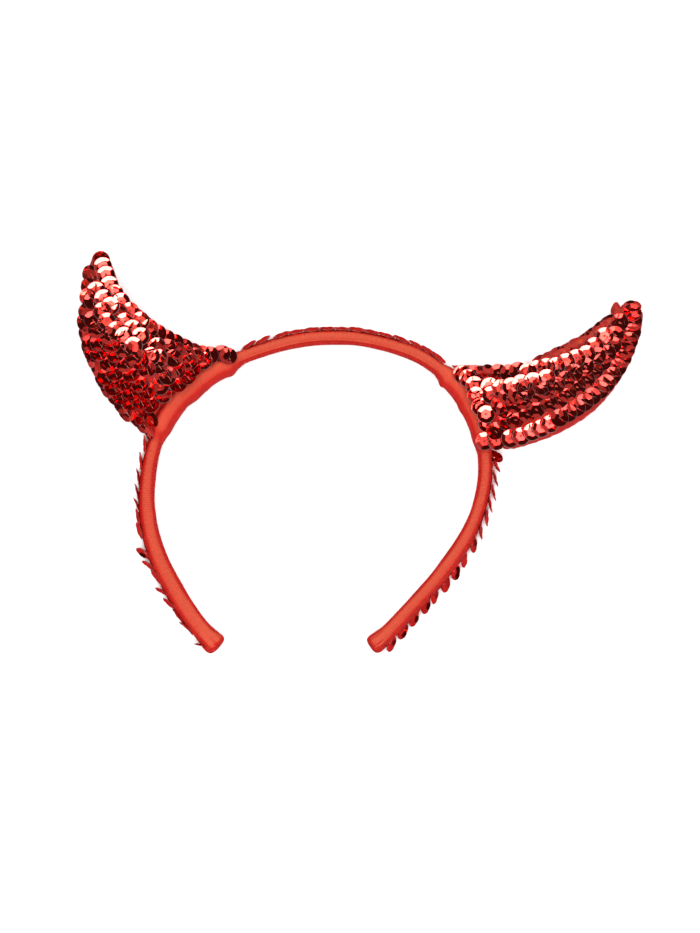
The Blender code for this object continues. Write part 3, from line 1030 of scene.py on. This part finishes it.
def sequin_rings():
    """Rings of a sequin as (x, y, z), from the hole's edge in front, over the rim, back to the hole."""
    between = (SEQUIN_RADIUS + FLAT_RADIUS) / 2
    profile = (
        (lambda angle: HOLE_RADIUS, 0),
        (flat_edge, 0),
        (lambda angle: between, 0),
        (lambda angle: SEQUIN_RADIUS - RIM_WIDTH, 0),
        (lambda angle: SEQUIN_RADIUS, FOIL_THICKNESS * 0.4),
        (lambda angle: SEQUIN_RADIUS - RIM_WIDTH / 2, FOIL_THICKNESS),
        (flat_edge, FOIL_THICKNESS),
        (lambda angle: HOLE_RADIUS, FOIL_THICKNESS),
    )
    rings = []
    for radius_at, drop in profile:
        ring = []
        for k in range(SEQUIN_SIDES):
            angle = 360 * k / SEQUIN_SIDES
            radius = radius_at(angle)
            x = radius * math.cos(math.radians(angle))
            y = radius * math.sin(math.radians(angle))
            ring.append((x, y, sequin_height(x, y) - drop))
        rings.append(ring)
    return rings


SEQUIN_RINGS = sequin_rings()
RIM_ROWS = (3, 4)
SEQUIN_RISE = sequin_height(SEQUIN_RADIUS, 0)


def add_sequin(mould, middle, reach, face, chance):
    """A cup round its hole. reach points to its free end, and face out of its front."""
    side = face.cross(reach)
    bend = WARP * chance.uniform(-1, 1)
    twist = chance.uniform(0, math.pi)
    turned = chance.uniform(0, math.pi / 3)
    points = []
    for ring in SEQUIN_RINGS:
        for x, y, z in ring:
            x, y = (
                x * math.cos(turned) - y * math.sin(turned),
                x * math.sin(turned) + y * math.cos(turned),
            )
            sag = bend * (x * math.cos(twist) + y * math.sin(twist)) ** 2
            points.append(middle + reach * x + side * y + face * (z + sag))
    foil, rim = [], []
    for i in range(len(SEQUIN_RINGS)):
        near, far = (ring % len(SEQUIN_RINGS) * SEQUIN_SIDES for ring in (i, i + 1))
        for k in range(SEQUIN_SIDES):
            after = (k + 1) % SEQUIN_SIDES
            quad = (near + k, far + k, far + after, near + after)
            (rim if i in RIM_ROWS else foil).append(quad)
    mould.add(points, foil + rim, [0] * len(foil) + [1] * len(rim))


def add_thread(mould, path):
    """A thin thread through the points of a path."""
    rings = []
    for i, point in enumerate(path):
        ahead = (path[min(i + 1, len(path) - 1)] - path[max(i - 1, 0)]).normalized()
        side = ahead.orthogonal().normalized()
        other = ahead.cross(side)
        ways = [side * math.cos(q) + other * math.sin(q) for q in round_turns(3)]
        rings.append([point + way * THREAD_RADIUS for way in ways])
    points, faces, _ = loft(rings)
    mould.add(points, faces, [0] * len(faces))


def add_sequins(name, node, foil, discs, threads):
    """Many sequins and their stitches as two pieces."""
    made = (discs.points, discs.faces, [foil, FOIL_RIM])
    add_piece(name + "_foil", *made, node, "sequin_foil", slots=discs.slots, sharp=FOIL_SHARP)
    add_piece(name + "_stitches", threads.points, threads.faces, [THREAD], node, "cover_cloth")


def under_view(place, height):
    """The point at a height that the camera sees at a place."""
    scale = CAMERA_DISTANCE / (CAMERA_DISTANCE + SUBJECT_HEIGHT - height)
    point = VIEW_CENTRE.to_2d() + (place - VIEW_CENTRE.to_2d()) / scale
    return Vector((point.x, point.y, height))


def settle(body, place, face):
    """Where a leaning sequin's middle rests on a horn under a place in the view, and the nearest cloth."""
    eye = VIEW_CENTRE + UP * (CAMERA_DISTANCE + SUBJECT_HEIGHT)
    level = Vector((place.x, place.y, SUBJECT_HEIGHT))
    cloth = body.ray_cast(eye, level - eye)[0]
    if cloth is None:
        cloth = body.find_nearest(level)[0]
    side = face.orthogonal().normalized()
    other = face.cross(side)
    above_body = CLOTH_LIFT + CLOTH_THICKNESS + SEQUIN_CLEARANCE
    height = cloth.z + above_body
    start = under_view(place, height)
    for k in range(RIM_CHECKS):
        angle = 2 * math.pi * k / RIM_CHECKS
        rim = (side * math.cos(angle) + other * math.sin(angle)) * SEQUIN_RADIUS * RIM_CHECKED
        rim += face * SEQUIN_RISE * RIM_CHECKED
        found = body.ray_cast(start + rim + UP, -UP)[0]
        if found is not None:
            height = max(height, found.z + above_body - rim.z)
    middle = under_view(place, min(height, cloth.z + MOST_LIFT))
    return middle, body.find_nearest(middle)[0]


def make_horn_sequins(horn, rows, body):
    """Every sequin on a horn's front, and the stitch that holds it."""
    chance = random.Random(horn["name"])
    discs, threads = Mould(), Mould()
    loose, length = horn["thread"]
    for row in rows_of(rows):
        place = Vector((row["x"] - HOOP_IN_VIEW[0], HOOP_IN_VIEW[1] - row["y"])) * VIEW_STEP
        lean = math.radians(row["lean"] + chance.gauss(0, LEAN_SPREAD))
        towards = math.radians(row["face"] + chance.gauss(0, FACE_SPREAD))
        tilt = math.sin(lean)
        face = Vector((tilt * math.cos(towards), tilt * math.sin(towards), math.cos(lean)))
        middle, cloth = settle(body, place, face)
        reach = direction(loose + chance.gauss(0, LOOSE_SPREAD))
        reach = (reach - face * reach.dot(face)).normalized()
        add_sequin(discs, middle, reach, face, chance)
        shown = (KNOT if row["face"] < 0 else length) * MM * chance.uniform(*THREAD_LENGTHS)
        stitch(threads, cloth, middle, reach, face, shown)
    add_sequins(horn["name"], horn["name"] + "_sequins", FOIL, discs, threads)


def stitch(threads, cloth, middle, reach, face, length):
    """The thread from the cloth out of a sequin's hole, over its side."""
    path = [
        cloth,
        middle - face * 0.3 * MM,
        middle + face * THREAD_RADIUS + reach * 0.1 * MM,
        middle + face * (THREAD_RADIUS + 0.12 * MM) + reach * length * 0.4,
        middle + face * (THREAD_RADIUS + 0.06 * MM) + reach * length * 0.75,
        middle + face * THREAD_RADIUS + reach * length,
    ]
    add_thread(threads, path)


# Sequins on the band


def make_string(name, start, end, rows):
    """A string of sequins on the band's outer face, on a tape sewn to it."""
    chance = random.Random(name)
    discs, threads = Mould(), Mould()
    for row in rows:
        outward = band_axes(row["turn"])[1]
        reach = direction(row["lay"])
        level = reach.cross(UP)
        if level.dot(outward) < 0:
            level.negate()
        up = math.radians(row["face"])
        face = level * math.cos(up) + UP * math.sin(up)
        height = chance.uniform(-STRING_SPREAD, STRING_SPREAD) * MM
        middle = band_point(row["turn"], row["off"] * MM, height)
        add_sequin(discs, middle, reach, face, chance)
        path = [
            band_point(row["turn"], band_face(row["turn"], 1), 0),
            middle - face * 0.2 * MM,
            middle + face * (THREAD_RADIUS + 0.05 * MM) - reach * 0.6 * MM,
            middle + face * THREAD_RADIUS - reach * 1.6 * MM,
            middle - face * 0.6 * MM - reach * 2.2 * MM,
        ]
        add_thread(threads, path)
    add_sequins(name, name, STRING_FOIL, discs, threads)

    rings = []
    for turn in even_turns(start, end, TAPE_STEP):
        inside = band_face(turn, 1) - TAPE_SUNK
        ring = []
        for q in round_turns(6):
            out = inside + TAPE_THICKNESS * (1 + math.cos(q)) / 2
            ring.append(band_point(turn, out, TAPE_WIDTH / 2 * math.sin(q)))
        rings.append(ring)
    points, faces, uvs = loft(rings)
    add_piece(name + "_tape", points, faces, [RIBBED_CLOTH], name, "cover_cloth", uvs=uvs)


def crown_rows():
    """Sequins along the crown, which point clockwise and stand a little off the band."""
    chance = random.Random("crown")
    rows = rows_of(CROWN_SEQUINS)
    for row in rows:
        row["lay"] = row["turn"] - 90 + row["lift"]
        row["face"] = CROWN_FACE + chance.uniform(-CROWN_FACE_SPREAD, CROWN_FACE_SPREAD)
        row["off"] = CROWN_OFF
    return rows


# Materials


class Shader:
    """Nodes of one material. Values of inputs are numbers, colours or other nodes' outputs."""

    def __init__(self, name):
        self.material = bpy.data.materials.new(name)
        self.material.use_nodes = True
        self.tree = self.material.node_tree
        self.surface = self.tree.nodes["Principled BSDF"]

    def node(self, kind, inputs, **settings):
        made = self.tree.nodes.new("ShaderNode" + kind)
        for name, value in settings.items():
            setattr(made, name, value)
        self.plug(made, inputs)
        return made.outputs

    def plug(self, made, inputs):
        for name, value in inputs.items():
            socket = made.inputs[name]
            if isinstance(value, bpy.types.NodeSocket):
                self.tree.links.new(value, socket)
            else:
                socket.default_value = value

    def math(self, operation, a, b=0.0, c=0.0):
        return self.node("Math", {0: a, 1: b, 2: c}, operation=operation)[0]

    def stretch(self, value, low, high, to_low=0.0, to_high=1.0, **settings):
        """A value spread from one range to another, and held to it."""
        ends = {"From Min": low, "From Max": high, "To Min": to_low, "To Max": to_high}
        return self.node("MapRange", {"Value": value, **ends}, **settings)[0]

    def wave(self, value, pitch):
        """From 0.5 to 1.5 and back over every pitch."""
        angle = self.math("MULTIPLY", value, 2 * math.pi / pitch)
        return self.math("MULTIPLY_ADD", self.math("SINE", angle), 0.5, 1.0)

    def mix(self, factor, a, b):
        return self.node("Mix", {0: factor, 6: a, 7: b}, data_type="RGBA")[2]

    def noise(self, scale, detail):
        place = self.node("TexCoord", {})["Object"]
        return self.node("TexNoise", {"Scale": scale, "Detail": detail, "Vector": place})[0]

    def bump(self, height, distance, strength):
        return self.node("Bump", {"Height": height, "Distance": distance, "Strength": strength})[0]


# Cloth's painted light: the lit side, painted paler, and how squarely the cloth has to face it
PAINTED_LIGHT_SIDE = (0.0, 0.40, 0.92)
PAINTED_LIGHT_FACING = (0.68, 1.02)
THREAD_PITCH = 0.42 * MM
FLECKS_PER_METRE = 1200


def cloth_material(name, dyed, pale, pitch, roughness, depth, slant=0.0):
    """Woven cloth with fine ribs across it and flecks in the thread, painted paler where it faces the lit
    side.
    """
    shader = Shader(name)
    uv = shader.node("UVMap", {}, uv_map="cloth")[0]
    parts = shader.node("SeparateXYZ", {0: uv})
    ribs = shader.wave(shader.math("MULTIPLY_ADD", parts[1], slant, parts[0]), pitch)
    weave = shader.math("MULTIPLY", ribs, shader.wave(parts[1], THREAD_PITCH))
    fleck = shader.noise(FLECKS_PER_METRE, 2.0)
    height = shader.math("MULTIPLY_ADD", fleck, 0.5, weave)
    normal = shader.node("NewGeometry", {})["Normal"]
    facing = shader.node("VectorMath", {0: normal, 1: PAINTED_LIGHT_SIDE}, operation="DOT_PRODUCT")["Value"]
    # Painted light: 1 where the cloth faces the lit side, which is painted in the pale colour
    painted_light = shader.stretch(facing, *PAINTED_LIGHT_FACING, interpolation_type="SMOOTHSTEP")
    shader.plug(
        shader.surface,
        {
            "Base Color": shader.mix(painted_light, (*dyed, 1), (*pale, 1)),
            "Roughness": shader.stretch(fleck, 0.3, 0.7, roughness - 0.08, roughness + 0.08),
            "Specular IOR Level": 0.04,
            "Normal": shader.bump(height, depth, 0.8),
        },
    )
    return shader.material


def foil_material(name, deep, light, coat):
    """Red film over mirror foil: each sequin a little darker or lighter, faintly scuffed and wavy."""
    shader = Shader(name)
    geometry = shader.node("NewGeometry", {})
    dust = shader.noise(700, 3.0)
    waves = shader.noise(260, 1.0)
    scuffed = shader.math("MULTIPLY", dust, 0.35)
    tone = shader.math("MULTIPLY_ADD", geometry["Random Per Island"], 0.75, scuffed)
    shader.plug(
        shader.surface,
        {
            "Base Color": shader.mix(tone, (*deep, 1), (*light, 1)),
            "Metallic": 1.0,
            "Roughness": shader.stretch(dust, 0.35, 0.75, 0.07, 0.20),
            "Specular Tint": (1.0, 0.35, 0.30, 1),
            "Coat Weight": coat,
            "Coat Roughness": 0.05,
            "Coat IOR": 1.5,
            "Normal": shader.bump(waves, 0.25 * MM, 0.35),
        },
    )
    return shader.material


def rim_material():
    """Cut edge of the film, where the light comes through."""
    shader = Shader("sequin_cut_edge")
    dust = shader.noise(900, 2.0)
    colour = shader.mix(dust, (0.05, 0.008, 0.008, 1), (0.13, 0.03, 0.03, 1))
    shader.plug(shader.surface, {"Base Color": colour, "Roughness": 0.35, "Specular IOR Level": 0.6})
    return shader.material


def thread_material():
    """Twisted sewing thread."""
    shader = Shader("sewing_thread")
    twist = shader.noise(2600, 2.0)
    colour = shader.mix(twist, (0.34, 0.045, 0.025, 1), (0.48, 0.16, 0.10, 1))
    shader.plug(
        shader.surface,
        {"Base Color": colour, "Roughness": 0.6, "Normal": shader.bump(twist, 0.08 * MM, 0.6)},
    )
    return shader.material


def floor_material():
    """Plain pale floor."""
    shader = Shader("pale_floor")
    shader.plug(shader.surface, {"Base Color": (0.95, 0.95, 0.95, 1), "Roughness": 0.9})
    return shader.material


# Each cloth's pale colour is painted light: it shows where the cloth faces the lit side
RIBBED_CLOTH = cloth_material(
    "ribbed_cover_cloth",
    dyed=(0.47, 0.012, 0.007),
    pale=(0.57, 0.080, 0.042),
    pitch=0.90 * MM,
    roughness=0.8,
    depth=0.24 * MM,
)
SATIN = cloth_material(
    "fine_satin",
    dyed=(0.47, 0.012, 0.007),
    pale=(0.57, 0.072, 0.038),
    pitch=0.86 * MM,
    roughness=0.65,
    depth=0.16 * MM,
    slant=0.8,
)
FOIL = foil_material("sequin_foil_film", (0.60, 0.018, 0.013), (0.86, 0.040, 0.024), 0.5)
STRING_FOIL = foil_material("string_foil_film", (0.52, 0.010, 0.010), (0.82, 0.022, 0.016), 0.2)
FOIL_RIM = rim_material()
THREAD = thread_material()


# Light, floor and camera


def aim(thing, target):
    """Turns a lamp towards a point."""
    thing.rotation_euler = (target - thing.location).to_track_quat("-Z", "Y").to_euler()


def softbox(name, azimuth, elevation, distance, width, height, radiance, lights, shows):
    """A soft panel that lights cloth, shows in foil, or both. Azimuth is in degrees from +X towards +Y."""
    lamp = bpy.data.lights.new(name, "AREA")
    lamp.shape = "RECTANGLE"
    lamp.size = width
    lamp.size_y = height
    lamp.energy = radiance * math.pi * width * height
    holder = add_object(name, lamp)
    a, e = math.radians(azimuth), math.radians(elevation)
    holder.location = Vector(
        (math.cos(a) * math.cos(e), math.sin(a) * math.cos(e), math.sin(e))
    ) * distance
    aim(holder, Vector((0, 0, 0)))
    holder.visible_diffuse = lights
    holder.visible_glossy = shows


SOFTBOXES = table(
    "name azimuth elevation distance width height radiance lights shows",
    ("ceiling", 90, 90, 2, 2, 2, 6.9, True, False),
    ("fill_from_top", 100, 45, 1.8, 1.6, 1, 1.2, True, False),
    ("key", -72, 30, 1.4, 2.2, 0.75, 26, False, True),
    ("halo", -70, 66, 1.4, 1.6, 0.5, 6, False, True),
    ("crest", -72, 79, 1.4, 1.4, 0.22, 1.8, False, True),
    ("overhead", -90, 87, 1.6, 1.2, 0.2, 0.35, False, True),
    ("left_side", 175, 30, 1.5, 1, 0.8, 0.4, False, True),
    ("right_side", 10, 35, 1.5, 0.8, 0.8, 0.55, False, True),
    ("far_side", 90, 12, 1.6, 3, 0.6, 0.5, False, True),
)
WORLD_ABOVE = 0.05
WORLD_BELOW = 0.70
HORIZON = 0.05
FLOOR_REACH = 3.0
FLOOR_HEIGHT = -0.2 * MM


def make_floor():
    """The floor, which the foil doesn't mirror."""
    mesh = bpy.data.meshes.new("floor")
    signs = ((-1, -1), (1, -1), (1, 1), (-1, 1))
    corners = [(FLOOR_REACH * x, FLOOR_REACH * y, FLOOR_HEIGHT) for x, y in signs]
    mesh.from_pydata(corners, [], [(0, 1, 2, 3)])
    mesh.materials.append(floor_material())
    floor = add_object("floor", mesh)
    floor.visible_glossy = False


def make_surround():
    """A white surround, dim above the horizon and brighter below it."""
    world = bpy.data.worlds.new("studio")
    world.use_nodes = True
    nodes, links = world.node_tree.nodes, world.node_tree.links
    place = nodes.new("ShaderNodeTexCoord")
    parts = nodes.new("ShaderNodeSeparateXYZ")
    strength = nodes.new("ShaderNodeMapRange")
    ends = {"From Min": -HORIZON, "From Max": HORIZON, "To Min": WORLD_BELOW, "To Max": WORLD_ABOVE}
    for name, value in ends.items():
        strength.inputs[name].default_value = value
    links.new(place.outputs["Generated"], parts.inputs[0])
    links.new(parts.outputs[2], strength.inputs["Value"])
    links.new(strength.outputs[0], nodes["Background"].inputs["Strength"])
    nodes["Background"].inputs["Color"].default_value = (1, 1, 1, 1)
    bpy.context.scene.world = world
    bpy.context.scene.view_settings.view_transform = "Standard"


def make_camera():
    """The camera straight above."""
    camera = bpy.data.cameras.new("camera")
    camera.sensor_fit = "VERTICAL"
    camera.sensor_height = 24.0
    camera.lens = camera.sensor_height * CAMERA_DISTANCE / VIEW_HEIGHT
    holder = add_object("camera", camera)
    holder.location = HOOP_CENTRE + VIEW_CENTRE + UP * (CAMERA_DISTANCE + SUBJECT_HEIGHT)
    bpy.context.scene.camera = holder


def make_headband():
    """Every piece of the headband."""
    right_start, right_end = sleeve_span(RIGHT_HORN)
    left_start, left_end = sleeve_span(LEFT_HORN)
    first, last = BAND_PATH["turn"][0], BAND_PATH["turn"][-1]
    make_band()
    horns = (
        (RIGHT_HORN, "right_sleeve", RIGHT_HORN_SEQUINS),
        (LEFT_HORN, "left_sleeve", LEFT_HORN_SEQUINS),
    )
    for horn, sleeve, rows in horns:
        body = make_horn_body(horn, make_sleeve(horn, sleeve))
        make_panel(horn)
        make_horn_sequins(horn, rows, body)
    legs = (
        ("right_leg_sequins", turn_after(first, END_LENGTH), right_start, rows_of(RIGHT_LEG_SEQUINS)),
        ("left_leg_sequins", left_start, turn_after(last, -END_LENGTH), rows_of(LEFT_LEG_SEQUINS)),
    )
    for name, start, end, rows in legs:
        make_string(name, start, end, rows)
    crown = (turn_after(right_end, STRING_BREAK), turn_after(left_end, -STRING_BREAK))
    make_string("crown_sequins", *crown, crown_rows())


make_headband()
make_floor()
for panel in rows_of(SOFTBOXES):
    softbox(**panel)
make_surround()
make_camera()
